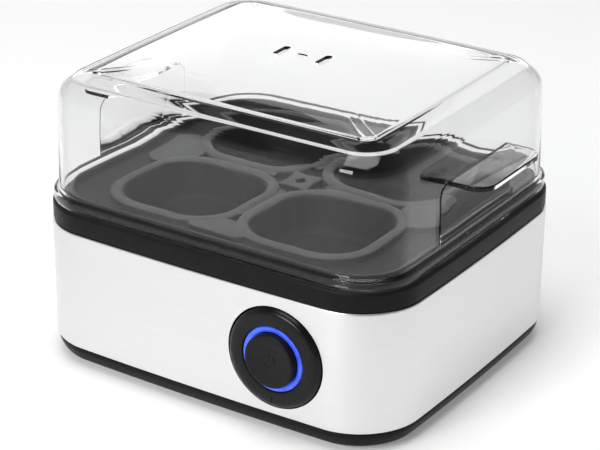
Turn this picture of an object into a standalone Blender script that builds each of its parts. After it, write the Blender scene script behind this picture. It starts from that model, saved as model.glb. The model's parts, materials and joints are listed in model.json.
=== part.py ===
"""Electric egg cooker with a four-well poaching tray and a clear lid.

The frame is +Z up with its origin on the floor under the middle of the object. +X runs to the
right along the front, and the front, with its push button, faces -Y. Every size below is in
millimetres, and MM turns it into Blender's metres when a mesh is made.
"""

import math

import bmesh
import bpy
from mathutils import Matrix, Vector

MM = 0.001

# Driving sizes of the body
BODY_HALF_X = 97.5
BODY_HALF_Y = 85.2
CORNER_RADIUS = 29.5
SIDE_BOW = 2.0
LID_CORNER_RADIUS = 28.0
LID_BOW = 0.8
GAP = 0.3
SHEET = 0.8

# Heights above the floor
FOOT_TOP = 2.6
BASE_BOTTOM = 2.0
BASE_FLOOR = 4.5
BASE_RIM = 13.5
SHELL_BOTTOM = 10.5
SHELL_TOP = 69.4
COLLAR_TOP = 79.3
COLLAR_UNDERSIDE = 76.8
DISH_FLANGE_TOP = 74.7
DISH_FLOOR = 56.0
SPREADER_TOP = 54.7
SPREADER_BOTTOM = 52.0
ELEMENT_HEIGHT = 48.4
SHIELD_TOP = 31.8
LID_BOTTOM = COLLAR_TOP + 0.3
LID_EDGE = 139.0
DOME_EDGE = 141.5
DOME_INSIDE_EDGE = 139.8
DOME_RISE = 4.5

# Places
POST_X, POST_Y = 82.4, 70.1
FOOT_X, FOOT_Y = 70.0, 58.0
BUTTON_X, BUTTON_Z = 43.1, 39.0
BEZEL_BACK_Y = -82.5
GLAND_X, GLAND_Z = -50.0, 22.0
PANEL_BACK_Y = 86.65
WELL_PITCH = 35.8
SPACER_X, SPACER_Y = 56.0, 32.0
BLOCK_X, BLOCK_Y = -44.0, 50.0
EARTH_X, EARTH_Y = -30.0, 12.0
FUSE_Y, FUSE_Z, FUSE_HALF_LENGTH = -20.0, 48.9, 15.0
SWITCH_FRONT_Y, SWITCH_LENGTH, SWITCH_HALF_HEIGHT = -68.3, 17.5, 6.0
TAB_OFFSET = 3.6

BUTTON_CENTRE = (BUTTON_X, BEZEL_BACK_Y, BUTTON_Z)
GLAND_CENTRE = (GLAND_X, PANEL_BACK_Y, GLAND_Z)

# Steps used on round stretches
CORNER_STEPS = 4
SIDE_STEPS = 2
BODY_SIDE_STEPS = 4
WELL_CORNER_STEPS = 4
KNOB_STEPS = 28
SMALL_STEPS = 12

ROUND_CORNERS = ((1, 1, 0), (-1, 1, 90), (-1, -1, 180), (1, -1, 270))
FOUR_SIGNS = ((1, 1), (-1, 1), (-1, -1), (1, -1))


# ---------------------------------------------------------------- scene and materials

def clear_scene():
    for item in list(bpy.data.objects):
        bpy.data.objects.remove(item, do_unlink=True)


def make_collection(name):
    group = bpy.data.collections.new(name)
    bpy.context.scene.collection.children.link(group)
    return group


clear_scene()
PARTS = make_collection("egg_cooker")
CUTTERS = make_collection("cutters")


def make_material(name, colour, roughness, metallic=0.0, alpha=1.0):
    """A Principled material, see-through where alpha is below 1."""
    material = bpy.data.materials.new(name)
    material.use_nodes = True
    shader = material.node_tree.nodes["Principled BSDF"]
    shader.inputs["Base Color"].default_value = (*colour, 1.0)
    shader.inputs["Roughness"].default_value = roughness
    shader.inputs["Metallic"].default_value = metallic
    shader.inputs["Alpha"].default_value = alpha
    return material


STEEL = make_material("brushed_steel", (0.72, 0.72, 0.71), 0.32, 1.0)
BLACK = make_material("black_plastic", (0.018, 0.018, 0.019), 0.38)
GLOSS = make_material("gloss_black_plastic", (0.012, 0.012, 0.013), 0.12)
CLEAR = make_material("clear_plastic", (0.94, 0.95, 0.96), 0.05, alpha=0.25)
COATING = make_material("nonstick_coating", (0.045, 0.045, 0.047), 0.45)
RUBBER = make_material("rubber", (0.03, 0.03, 0.03), 0.85)
SILICONE = make_material("silicone", (0.62, 0.62, 0.6), 0.6)
ALUMINIUM = make_material("aluminium", (0.75, 0.76, 0.77), 0.4, 1.0)
PLATED = make_material("plated_steel", (0.66, 0.65, 0.6), 0.35, 1.0)
BRASS = make_material("brass", (0.72, 0.55, 0.26), 0.3, 1.0)
PHENOLIC = make_material("phenolic", (0.09, 0.05, 0.03), 0.5)
NYLON = make_material("white_nylon", (0.82, 0.81, 0.78), 0.5)
BOARD = make_material("circuit_board", (0.02, 0.16, 0.07), 0.45)
GLOW = make_material("blue_light_guide", (0.03, 0.07, 0.75), 0.25)
WIRE_BROWN = make_material("wire_brown", (0.16, 0.06, 0.025), 0.5)
WIRE_BLUE = make_material("wire_blue", (0.03, 0.10, 0.42), 0.5)
WIRE_GREEN = make_material("wire_green", (0.16, 0.42, 0.06), 0.5)
SLEEVE = make_material("glass_sleeve", (0.78, 0.76, 0.68), 0.8)


# ---------------------------------------------------------------- shape helpers

def add_object(name, mesh, material):
    item = bpy.data.objects.new(name, mesh)
    PARTS.objects.link(item)
    item.data.materials.append(material)
    return item


def finish_mesh(name, bm, material):
    """Turn a bmesh in millimetres into an object in metres, its faces pointing out."""
    bmesh.ops.scale(bm, vec=(MM, MM, MM), verts=bm.verts)
    bmesh.ops.recalc_face_normals(bm, faces=bm.faces)
    mesh = bpy.data.meshes.new(name)
    bm.to_mesh(mesh)
    bm.free()
    return add_object(name, mesh, material)


def as_cutter(item):
    """Move a helper solid to the cutters' collection, where it isn't a part."""
    PARTS.objects.unlink(item)
    CUTTERS.objects.link(item)
    item.hide_render = True
    item.display_type = "WIRE"
    return item


def boolean(item, helper, operation):
    step = item.modifiers.new(f"{operation.lower()}_{helper.name}", "BOOLEAN")
    step.operation = operation
    step.solver = "EXACT"
    step.object = as_cutter(helper)
    return item


def cut(item, helper):
    return boolean(item, helper, "DIFFERENCE")


def join(item, helper):
    return boolean(item, helper, "UNION")


def smooth(item, angle=35):
    item.data.shade_smooth()
    item.data.set_sharp_from_angle(angle=math.radians(angle))
    return item


def rounded(half_x, half_y, radius, bow=0.0, corner_steps=CORNER_STEPS, side_steps=SIDE_STEPS):
    """Points of a rounded rectangle, anticlockwise, its sides bowed out by bow at their middles."""
    radius = max(radius, 2.0)
    corners = []
    for sign_x, sign_y, start in ROUND_CORNERS:
        arc = []
        for step in range(corner_steps + 1):
            angle = math.radians(start + 90 * step / corner_steps)
            x = sign_x * (half_x - radius) + radius * math.cos(angle)
            y = sign_y * (half_y - radius) + radius * math.sin(angle)
            arc.append((x, y))
        corners.append(arc)
    points = []
    for index, arc in enumerate(corners):
        points.extend(arc)
        (x0, y0), (x1, y1) = arc[-1], corners[(index + 1) % 4][0]
        for step in range(1, side_steps):
            share = step / side_steps
            points.append((x0 + (x1 - x0) * share, y0 + (y1 - y0) * share))
    bowed = []
    for x, y in points:
        grow_x = bow / half_x * (1 - (y / half_y) ** 2)
        grow_y = bow / half_y * (1 - (x / half_x) ** 2)
        bowed.append((x * (1 + grow_x), y * (1 + grow_y)))
    return bowed


def body_plan(inset, radius=CORNER_RADIUS, bow=SIDE_BOW):
    """The body's outline drawn in by inset."""
    half_x, half_y = BODY_HALF_X - inset, BODY_HALF_Y - inset
    return rounded(half_x, half_y, radius - inset, bow, side_steps=BODY_SIDE_STEPS)


def lid_plan(inset):
    """The lid's outline: the body's, with straighter sides and tighter corners."""
    return body_plan(inset, LID_CORNER_RADIUS, LID_BOW)


def lift(plan, height):
    return [(x, y, height) for x, y in plan]


def body_loops(profile, plan=body_plan):
    """Loops round the body for a profile of (inset, height) pairs."""
    return [lift(plan(inset), height) for inset, height in profile]


def loft(name, loops, material, ring=False):
    """Skin over loops of equal length: a ring closes on itself, anything else gets end caps."""
    bm = bmesh.new()
    rows = [[bm.verts.new(point) for point in loop] for loop in loops]
    pairs = list(zip(rows, rows[1:]))
    if ring:
        pairs.append((rows[-1], rows[0]))
    else:
        bm.faces.new(rows[0])
        bm.faces.new(rows[-1])
    for lower, upper in pairs:
        count = len(lower)
        for index in range(count):
            after = (index + 1) % count
            bm.faces.new((lower[index], lower[after], upper[after], upper[index]))
    return smooth(finish_mesh(name, bm, material))


def prism(name, plans, bottom, top, material):
    """Flat outlines raised from bottom to top, each a separate solid of one object."""
    bm = bmesh.new()
    for plan in plans:
        face = bm.faces.new([bm.verts.new((x, y, bottom)) for x, y in plan])
        grown = bmesh.ops.extrude_face_region(bm, geom=[face])
        moved = [part for part in grown["geom"] if isinstance(part, bmesh.types.BMVert)]
        bmesh.ops.translate(bm, vec=(0, 0, top - bottom), verts=moved)
    return finish_mesh(name, bm, material)


def boxes(name, corners, material):
    """Boxes from pairs of opposite corners, each a separate solid of one object."""
    bm = bmesh.new()
    for low, high in corners:
        low, high = Vector(low), Vector(high)
        made = bmesh.ops.create_cube(bm, size=1.0)
        bmesh.ops.scale(bm, vec=high - low, verts=made["verts"])
        bmesh.ops.translate(bm, vec=(low + high) / 2, verts=made["verts"])
    return finish_mesh(name, bm, material)


def rods(name, places, radius, bottom, top, material, steps=SMALL_STEPS):
    """Upright cylinders at the given places, each a separate solid of one object."""
    bm = bmesh.new()
    for x, y in places:
        made = bmesh.ops.create_cone(
            bm, cap_ends=True, segments=steps, radius1=radius, radius2=radius, depth=top - bottom
        )
        bmesh.ops.translate(bm, vec=(x, y, (top + bottom) / 2), verts=made["verts"])
    return smooth(finish_mesh(name, bm, material))


def turned(name, profile, place, material, steps=KNOB_STEPS, facing="UP", closed=True):
    """A (radius, height) profile turned about its own upright axis, then faced UP, FRONT or BACK."""
    bm = bmesh.new()
    verts = [bm.verts.new((radius * MM, 0, height * MM)) for radius, height in profile]
    for first, second in zip(verts, verts[1:]):
        bm.edges.new((first, second))
    if closed:
        bm.edges.new((verts[-1], verts[0]))
    mesh = bpy.data.meshes.new(name)
    bm.to_mesh(mesh)
    bm.free()
    item = add_object(name, mesh, material)
    turn = item.modifiers.new("turn", "SCREW")
    turn.steps = steps
    turn.render_steps = steps
    turn.use_merge_vertices = True
    turn.merge_threshold = 0.00001
    turn.use_smooth_shade = False
    item.location = Vector(place) * MM
    item.rotation_euler.x = {"UP": 0.0, "FRONT": math.pi / 2, "BACK": -math.pi / 2}[facing]
    return item


def turned_copies(name, profile, places, material, steps=SMALL_STEPS, facing="UP"):
    """The same turned solid at several places, each its own numbered object."""
    for index, place in enumerate(places, 1):
        turned(f"{name}_{index}", profile, place, material, steps, facing, closed=False)


def catmull_rom(points, spacing):
    """Points spaced along a smooth curve that passes through the given ones."""
    route = [Vector(point) for point in points]
    ends = [route[0] * 2 - route[1]] + route + [route[-1] * 2 - route[-2]]
    smooth_line = []
    for before, start, stop, after in zip(ends, ends[1:], ends[2:], ends[3:]):
        steps = max(2, round((stop - start).length / spacing))
        for step in range(steps):
            t = step / steps
            smooth_line.append(
                0.5 * (
                    2 * start
                    + (stop - before) * t
                    + (2 * before - 5 * start + 4 * stop - after) * t ** 2
                    + (3 * start - before - 3 * stop + after) * t ** 3
                )
            )
    smooth_line.append(route[-1])
    return smooth_line


def tube(name, points, radius, material, sides=2):
    """A round tube along a poly line, with filled ends."""
    curve = bpy.data.curves.new(name, "CURVE")
    curve.dimensions = "3D"
    curve.bevel_depth = radius * MM
    curve.bevel_resolution = sides
    curve.use_fill_caps = True
    spline = curve.splines.new("POLY")
    spline.points.add(len(points) - 1)
    for knot, point in zip(spline.points, points):
        knot.co = (*(Vector(point) * MM), 1.0)
    return add_object(name, curve, material)


def four(x, y):
    """The same place in each quarter of the plan."""
    return [(sign_x * x, sign_y * y) for sign_x, sign_y in FOUR_SIGNS]


def upright(places):
    """Plan places as points on the floor."""
    return [(x, y, 0.0) for x, y in places]


def stadium(centre_x, centre_y, half_length, radius, along_y=True, steps=4):
    """A slot's outline with round ends."""
    points = []
    for end, start in ((1, 0), (-1, 180)):
        for step in range(steps + 1):
            angle = math.radians(start + 180 * step / steps)
            across = radius * math.cos(angle)
            along = end * (half_length - radius) + radius * math.sin(angle)
            if along_y:
                points.append((centre_x + across, centre_y + along))
            else:
                points.append((centre_x - along, centre_y + across))
    return points


# ---------------------------------------------------------------- base, feet, shell and collar

BASE_PROFILE = (
    (4.8, BASE_BOTTOM), (4.0, 2.3), (2.7, 3.7), (1.6, 5.8), (1.0, 7.4), (0.8, 8.4), (0.8, 9.4),
    (1.2, 9.8), (1.2, BASE_RIM), (3.2, BASE_RIM), (3.4, 5.4), (4.6, BASE_FLOOR),
)
COLLAR_PROFILE = (
    (0.8, 69.7), (0.4, 70.3), (0.4, 78.3), (0.7, 79.0), (1.3, COLLAR_TOP), (13.4, COLLAR_TOP),
    (13.8, 78.9), (13.8, COLLAR_UNDERSIDE), (2.6, COLLAR_UNDERSIDE), (2.6, 65.4), (1.1, 65.4),
    (1.1, 69.7),
)
SCREW_HEAD_BOTTOM, SCREW_HEAD_TOP = 2.6, 4.8
SCREW_TIP = 30.0
VENT_SLOTS_X = (-16.0, -8.0, 0.0, 8.0, 16.0)


def make_base_cover():
    cover = loft("base_cover", body_loops(BASE_PROFILE), BLACK)
    join(cover, rods("base_bosses", four(POST_X, POST_Y), 4.2, 4.2, BASE_RIM, BLACK))
    cut(cover, rods("screw_sinks", four(POST_X, POST_Y), 3.5, 1.5, 5.1, BLACK))
    cut(cover, rods("screw_holes", four(POST_X, POST_Y), 1.7, 4.0, 14.5, BLACK))
    cut(cover, rods("foot_seats", four(FOOT_X, FOOT_Y), 7.6, 1.5, FOOT_TOP + GAP, BLACK, 20))
    slots = [stadium(x, 0, 13, 1.5) for x in VENT_SLOTS_X]
    cut(cover, prism("base_slots", slots, 1.0, 6.0, BLACK))


def make_feet():
    profile = ((0, FOOT_TOP), (7.1, FOOT_TOP), (7.1, 0.6), (6.5, 0), (0, 0))
    turned_copies("foot", profile, upright(four(FOOT_X, FOOT_Y)), RUBBER, 20)


def make_base_screws():
    profile = (
        (0, SCREW_TIP), (1.3, SCREW_TIP - 2), (1.3, SCREW_HEAD_TOP), (3.1, SCREW_HEAD_TOP),
        (3.1, 3.2), (2.4, SCREW_HEAD_BOTTOM), (0, SCREW_HEAD_BOTTOM),
    )
    turned_copies("base_screw", profile, upright(four(POST_X, POST_Y)), PLATED)


def make_shell():
    profile = ((0, SHELL_BOTTOM), (0, SHELL_TOP), (SHEET, SHELL_TOP), (SHEET, SHELL_BOTTOM))
    shell = loft("steel_shell", body_loops(profile), STEEL, ring=True)
    opening = ((0, 12), (24.8, 12), (24.8, -4), (0, -4))
    cut(shell, turned("bezel_opening", opening, BUTTON_CENTRE, STEEL, 40, "FRONT", False))
    hole = ((0, 6), (5.9, 6), (5.9, -6), (0, -6))
    cut(shell, turned("gland_opening", hole, GLAND_CENTRE, STEEL, 20, "BACK", False))


def make_collar():
    collar = loft("top_collar", body_loops(COLLAR_PROFILE), BLACK, ring=True)
    join(collar, rods("collar_posts", four(POST_X, POST_Y), 4.2, BASE_RIM + GAP, 77.5, BLACK))
    join(collar, rods("clip_bosses", CLIP_BOSSES, 2.6, 74.0, 77.5, BLACK))
    cut(collar, rods("post_pilots", four(POST_X, POST_Y), 1.6, 12.0, SCREW_TIP + 2, BLACK))
    cut(collar, rods("clip_pilots", CLIP_BOSSES, 1.1, 73.0, 76.0, BLACK, 8))


# ---------------------------------------------------------------- water dish, seal and clips

# (half x, half y, corner radius, height), from the outside's floor over the flange to the inside's.
DISH_SECTIONS = (
    (76.0, 63.5, 22.0, 55.0), (79.5, 67.0, 24.5, 55.6), (81.2, 68.7, 25.5, 57.5),
    (82.9, 70.4, 28.0, 73.7), (88.5, 76.2, 34.0, 73.7), (88.5, 76.2, 34.0, DISH_FLANGE_TOP),
    (81.9, 69.4, 27.0, DISH_FLANGE_TOP), (80.2, 67.7, 24.5, 58.0), (78.7, 66.2, 23.5, 56.5),
    (75.5, 63.0, 21.5, DISH_FLOOR),
)
CLIP_BOSSES = ((92.2, 0.0), (-92.2, 0.0), (0.0, 79.9), (0.0, -79.9))
CLIP_TOP, CLIP_THICKNESS = 73.4, 1.0
CLIP_HALF_WIDTH, CLIP_OUTWARD, CLIP_INWARD = 5.0, 2.4, 7.5


def section_loops(sections):
    """Loops for (half x, half y, corner radius, height) sections."""
    return [lift(rounded(*section[:3]), section[3]) for section in sections]


def make_dish():
    loft("heating_dish", section_loops(DISH_SECTIONS), STEEL)


def make_seal():
    bottom, top = DISH_FLANGE_TOP + GAP, COLLAR_UNDERSIDE - GAP
    sections = (
        (84.5, 72.2, 30.0, bottom), (87.5, 75.2, 33.0, bottom), (87.5, 75.2, 33.0, top),
        (84.5, 72.2, 30.0, top),
    )
    loft("dish_seal", section_loops(sections), SILICONE, ring=True)


def clip_box(x, y):
    """Opposite corners of the clip that reaches from its boss in under the dish's flange."""
    low = [x - CLIP_HALF_WIDTH, y - CLIP_HALF_WIDTH, CLIP_TOP - CLIP_THICKNESS]
    high = [x + CLIP_HALF_WIDTH, y + CLIP_HALF_WIDTH, CLIP_TOP]
    axis = 0 if x else 1
    side = math.copysign(1, x + y)
    place = (x, y)[axis]
    low[axis], high[axis] = sorted((place + side * CLIP_OUTWARD, place - side * CLIP_INWARD))
    return low, high


def make_dish_clips():
    """A flat clip and a screw at the middle of each side hold the dish's flange up to the collar."""
    for index, (x, y) in enumerate(CLIP_BOSSES, 1):
        clip = boxes(f"dish_clip_{index}", [clip_box(x, y)], PLATED)
        cut(clip, rods(f"clip_hole_{index}", [(x, y)], 1.2, 71.0, 75.0, PLATED, 8))
    profile = ((0, 75.4), (0.8, 75.4), (0.8, 72.1), (2.1, 72.1), (2.1, 70.9), (0, 70.9))
    turned_copies("clip_screw", profile, upright(CLIP_BOSSES), PLATED, 8)


# ---------------------------------------------------------------- heater, thermostat and heat shield

BRACKET_HALF_SPAN = 21.0
FUSE_CLAMP_HALF_SPAN = 6.0


def make_spreader():
    plate = prism("heat_spreader", [rounded(62, 50, 20)], SPREADER_BOTTOM, SPREADER_TOP, ALUMINIUM)
    cut(plate, rods("thermostat_bore", [(0, 0)], 8.8, 50, 57, ALUMINIUM, 24))
    tapped = four(SPACER_X, SPACER_Y) + bracket_screw_places() + [(EARTH_X, EARTH_Y)]
    cut(plate, rods("spreader_holes", tapped, 1.8, 50, 57, ALUMINIUM, 8))


def element_route():
    """A heater loop with rounded corners, open at the back, whose two ends turn to the back."""
    half_x, half_y, radius, mouth, bend = 48.0, 36.0, 22.0, 12.0, 8.0
    left = [(-mouth, 57.0), (-mouth, half_y + bend)]
    for step in range(1, 5):
        angle = math.radians(-90 * step / 4)
        x = -mouth - bend + bend * math.cos(angle)
        left.append((x, half_y + bend + bend * math.sin(angle)))
    for start, centre_y in ((90, half_y - radius), (180, radius - half_y)):
        for step in range(6):
            angle = math.radians(start + 90 * step / 5)
            x = radius - half_x + radius * math.cos(angle)
            left.append((x, centre_y + radius * math.sin(angle)))
    right = [(-x, y) for x, y in reversed(left)]
    return [(x, y, ELEMENT_HEIGHT) for x, y in left + right]


def make_element():
    tube("heating_element", element_route(), 3.2, PLATED)


def make_element_terminals():
    """A spade tab with a square pin at each end of the heater."""
    for index, x in enumerate((-12.0, 12.0), 1):
        blade = ((x - 0.4, 59.5, 45.4), (x + 0.4, 67.0, 51.4))
        tab = boxes(f"element_terminal_{index}", [blade], BRASS)
        pin = ((x - 1.2, 57.3, ELEMENT_HEIGHT - 1.2), (x + 1.2, 61.0, ELEMENT_HEIGHT + 1.2))
        join(tab, boxes(f"element_pin_{index}", [pin], BRASS))


def make_thermostat():
    profile = (
        (0, SPREADER_TOP), (7.6, SPREADER_TOP), (8.2, 54.1), (8.2, 47.5), (10.6, 47.5),
        (10.6, 46.3), (7.4, 46.3), (7.4, 39.0), (0, 39.0),
    )
    body = turned("thermostat", profile, (0, 0, 0), PHENOLIC, 24, closed=False)
    tabs = [((x - 0.4, -3, 33.5), (x + 0.4, 3, 40)) for x in (-4.0, 4.0)]
    join(body, boxes("thermostat_tabs", tabs, PHENOLIC))


def hat(half_span, foot, half_well, drop, thickness, top):
    """Side outline of a strap: feet at the top, a flat-bottomed dip between them."""
    end, side = half_span + foot, half_well + thickness
    under, low, floor = top - thickness, top - drop, top - drop + thickness
    return [
        (-end, top), (-end, under), (-side, under), (-side, low), (side, low), (side, under),
        (end, under), (end, top), (half_well, top), (half_well, floor), (-half_well, floor),
        (-half_well, top),
    ]


def strap(name, outline, half_width, centre, along_y, material):
    """A strap's side outline pushed half_width to each side of its centre."""
    bm = bmesh.new()
    verts = []
    for along, height in outline:
        if along_y:
            verts.append(bm.verts.new((centre[0] - half_width, centre[1] + along, height)))
        else:
            verts.append(bm.verts.new((centre[0] + along, centre[1] - half_width, height)))
    face = bm.faces.new(verts)
    grown = bmesh.ops.extrude_face_region(bm, geom=[face])
    moved = [part for part in grown["geom"] if isinstance(part, bmesh.types.BMVert)]
    push = (2 * half_width, 0, 0) if along_y else (0, 2 * half_width, 0)
    bmesh.ops.translate(bm, vec=push, verts=moved)
    return finish_mesh(name, bm, material)


def bracket_screw_places():
    return [(-BRACKET_HALF_SPAN, 0.0), (BRACKET_HALF_SPAN, 0.0)]


def make_brackets():
    foot_top = SPREADER_BOTTOM - GAP
    outline = hat(BRACKET_HALF_SPAN, 4.0, 16.0, 6.9, 1.0, foot_top)
    bracket = strap("thermostat_bracket", outline, 11.0, (0, 0), False, PLATED)
    cut(bracket, rods("bracket_bore", [(0, 0)], 7.8, 43, 47, PLATED, 24))
    cut(bracket, rods("bracket_holes", bracket_screw_places(), 1.8, 49, 53, PLATED, 8))
    outline = hat(FUSE_CLAMP_HALF_SPAN, 2.4, 3.2, 6.4, SHEET, foot_top)
    strap("fuse_clamp", outline, 4.0, (0, FUSE_Y), True, PLATED)
    profile = ((0, 54.4), (1.4, 54.4), (1.4, 50.4), (2.5, 50.4), (2.5, 48.6), (0, 48.6))
    turned_copies("bracket_screw", profile, upright(bracket_screw_places()), PLATED, 10)


def make_fuse():
    ends = [(-FUSE_HALF_LENGTH, FUSE_Y, FUSE_Z), (FUSE_HALF_LENGTH, FUSE_Y, FUSE_Z)]
    tube("thermal_fuse", ends, 2.1, SLEEVE, sides=4)


def make_earth():
    profile = ((0, 54.4), (1.5, 54.4), (1.5, 50.1), (2.9, 50.1), (2.9, 48.0), (0, 48.0))
    turned("earth_screw", profile, (EARTH_X, EARTH_Y, 0), BRASS, SMALL_STEPS, closed=False)
    tag = rods("earth_tag", [(EARTH_X, EARTH_Y)], 3.9, 50.6, 51.4, BRASS, 16)
    tail = [((EARTH_X - 1.6, EARTH_Y - 9.5, 50.6), (EARTH_X + 1.6, EARTH_Y - 3.0, 51.4))]
    join(tag, boxes("earth_tail", tail, BRASS))
    cut(tag, rods("earth_hole", [(EARTH_X, EARTH_Y)], 1.9, 49, 53, BRASS))


def make_shield():
    shield = prism("heat_shield", [rounded(66, 40, 16)], SHIELD_TOP - SHEET, SHIELD_TOP, PLATED)
    cut(shield, rods("shield_window", [(0, 0)], 13.0, 29, 34, PLATED, 24))
    cut(shield, rods("shield_holes", four(SPACER_X, SPACER_Y), 1.7, 29, 34, PLATED, 8))
    bottom, top = SHIELD_TOP + GAP, SPREADER_BOTTOM - GAP
    profile = (
        (0, 54.3), (1.3, 54.3), (1.3, top), (3.2, top), (3.2, bottom), (1.3, bottom), (1.3, 30.7),
        (2.9, 30.7), (2.9, 28.9), (0, 28.9),
    )
    turned_copies("shield_stud", profile, upright(four(SPACER_X, SPACER_Y)), PLATED, 10)


# ---------------------------------------------------------------- push button and its control parts

# Profiles are (radius, distance in front of the bezel's back face).
BEZEL_PROFILE = (
    (15.8, 6.3), (16.4, 6.7), (21.0, 6.9), (23.2, 6.0), (24.1, 4.6), (24.3, 3.6), (24.2, 0.0),
    (15.8, 0.0),
)
LIGHT_RING_PROFILE = (
    (13.2, 6.2), (13.5, 6.5), (15.2, 6.5), (15.5, 6.2), (15.5, -0.3), (18.0, -0.3), (18.0, -2.3),
    (15.5, -2.3), (15.5, -4.5), (13.2, -4.5),
)
BUTTON_PROFILE = (
    (0, 9.4), (8.0, 9.55), (11.2, 9.9), (12.2, 9.8), (12.8, 9.1), (12.8, -2.0), (11.4, -2.0),
    (11.4, 7.4), (2.6, 7.4), (2.6, -14.5), (0, -14.5),
)
HOUSING_PROFILE = (
    (22.6, -0.3), (24.0, -0.3), (24.0, -9.7), (3.4, -9.7), (3.4, -8.3), (19.5, -8.3),
    (19.5, -7.6), (22.6, -7.6),
)
EAR_REACH, EAR_HALF_HEIGHT, EAR_SCREW, EAR_THICKNESS = 30.2, 7.0, 27.3, 1.2


def front_y(distance):
    """World Y of a point this far in front of the bezel's back face."""
    return BEZEL_BACK_Y - distance


def ear_holes(name):
    bm = bmesh.new()
    for side in (-1, 1):
        made = bmesh.ops.create_cone(bm, cap_ends=True, segments=8, radius1=1.3, radius2=1.3, depth=12)
        bmesh.ops.rotate(bm, matrix=Matrix.Rotation(math.pi / 2, 3, "X"), verts=made["verts"])
        place = (BUTTON_X + side * EAR_SCREW, BEZEL_BACK_Y, BUTTON_Z)
        bmesh.ops.translate(bm, vec=place, verts=made["verts"])
    return finish_mesh(name, bm, BLACK)


def make_bezel():
    bezel = turned("bezel", BEZEL_PROFILE, BUTTON_CENTRE, GLOSS, 40, "FRONT")
    ears = []
    for side in (-1, 1):
        inner, outer = sorted((BUTTON_X + side * 20.0, BUTTON_X + side * EAR_REACH))
        low = (inner, front_y(EAR_THICKNESS), BUTTON_Z - EAR_HALF_HEIGHT)
        ears.append((low, (outer, front_y(0.0), BUTTON_Z + EAR_HALF_HEIGHT)))
    join(bezel, boxes("bezel_ears", ears, GLOSS))
    cut(bezel, ear_holes("bezel_ear_holes"))


def make_light_ring():
    turned("light_ring", LIGHT_RING_PROFILE, BUTTON_CENTRE, GLOW, KNOB_STEPS, "FRONT")


def make_control_housing():
    housing = turned("control_housing", HOUSING_PROFILE, BUTTON_CENTRE, BLACK, KNOB_STEPS, "FRONT")
    ears = []
    for side in (-1, 1):
        inner, outer = sorted((BUTTON_X + side * 23.4, BUTTON_X + side * EAR_REACH))
        low = (inner, front_y(-0.3), BUTTON_Z - EAR_HALF_HEIGHT)
        ears.append((low, (outer, front_y(-2.3), BUTTON_Z + EAR_HALF_HEIGHT)))
    join(housing, boxes("housing_ears", ears, BLACK))
    cut(housing, ear_holes("housing_ear_holes"))


def make_housing_screws():
    profile = ((0, 1.1), (1.0, 1.1), (1.0, -2.6), (2.1, -2.6), (2.1, -4.0), (0, -4.0))
    places = [(BUTTON_X + side * EAR_SCREW, BEZEL_BACK_Y, BUTTON_Z) for side in (-1, 1)]
    turned_copies("housing_screw", profile, places, PLATED, 10, "FRONT")


def make_board():
    """A ring-shaped circuit board that carries six light-emitting diodes under the light guide."""
    profile = ((3.4, -5.7), (21.0, -5.7), (21.0, -7.3), (3.4, -7.3))
    board = turned("control_board", profile, BUTTON_CENTRE, BOARD, 24, "FRONT")
    bm = bmesh.new()
    for index in range(6):
        made = bmesh.ops.create_cube(bm, size=1.0)
        bmesh.ops.scale(bm, vec=(2.0, 1.4, 3.0), verts=made["verts"])
        bmesh.ops.translate(bm, vec=(14.3, front_y(-5.5), 0), verts=made["verts"])
        turn = Matrix.Rotation(math.radians(60 * index), 3, "Y")
        bmesh.ops.rotate(bm, matrix=turn, verts=made["verts"])
        bmesh.ops.translate(bm, vec=(BUTTON_X, 0, BUTTON_Z), verts=made["verts"])
    join(board, finish_mesh("diodes", bm, BOARD))


def make_button():
    turned("button", BUTTON_PROFILE, BUTTON_CENTRE, GLOSS, KNOB_STEPS, "FRONT", closed=False)
    profile = ((2.9, -10.0), (5.0, -10.0), (5.0, -10.7), (2.9, -10.7))
    turned("button_clip", profile, BUTTON_CENTRE, PLATED, 16, "FRONT")


def make_button_spring():
    """A compression spring round the button's stem, from the control board to the cap."""
    start, end, turns, radius, wire, per_turn = -5.0, 6.7, 5, 5.2, 0.35, 9
    points = []
    for step in range(turns * per_turn + 1):
        angle = math.tau * step / per_turn
        distance = start + (end - start) * step / (turns * per_turn)
        x = BUTTON_X + radius * math.cos(angle)
        points.append((x, front_y(distance), BUTTON_Z + radius * math.sin(angle)))
    tube("button_spring", points, wire, PLATED, sides=1)


def make_switch():
    back = SWITCH_FRONT_Y + SWITCH_LENGTH
    bottom, top = BUTTON_Z - SWITCH_HALF_HEIGHT, BUTTON_Z + SWITCH_HALF_HEIGHT
    shape = ((BUTTON_X - 7, SWITCH_FRONT_Y, bottom), (BUTTON_X + 7, back, top))
    body = boxes("switch_body", [shape], BLACK)
    bore = ((0, 10), (3.2, 10), (3.2, -5.5), (0, -5.5))
    place = (BUTTON_X, SWITCH_FRONT_Y, BUTTON_Z)
    cut(body, turned("switch_bore", bore, place, BLACK, 16, "FRONT", False))
    tabs = []
    for x in (BUTTON_X - TAB_OFFSET, BUTTON_X + TAB_OFFSET):
        tabs.append(((x - 0.4, back - 2, BUTTON_Z - 3), (x + 0.4, back + 6.8, BUTTON_Z + 3)))
    join(body, boxes("switch_tabs", tabs, BLACK))
    low, high = BASE_FLOOR + GAP, bottom - GAP
    front, wall, thick = SWITCH_FRONT_Y + 1.5, SWITCH_FRONT_Y + 15.5, 1.2
    channel = (
        (front, low), (wall, low), (wall, high), (front, high), (front, high - thick),
        (wall - thick, high - thick), (wall - thick, low + thick), (front, low + thick),
    )
    strap("switch_bracket", channel, 6.0, (BUTTON_X, 0), True, PLATED)


# ---------------------------------------------------------------- mains entry and wiring

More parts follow.
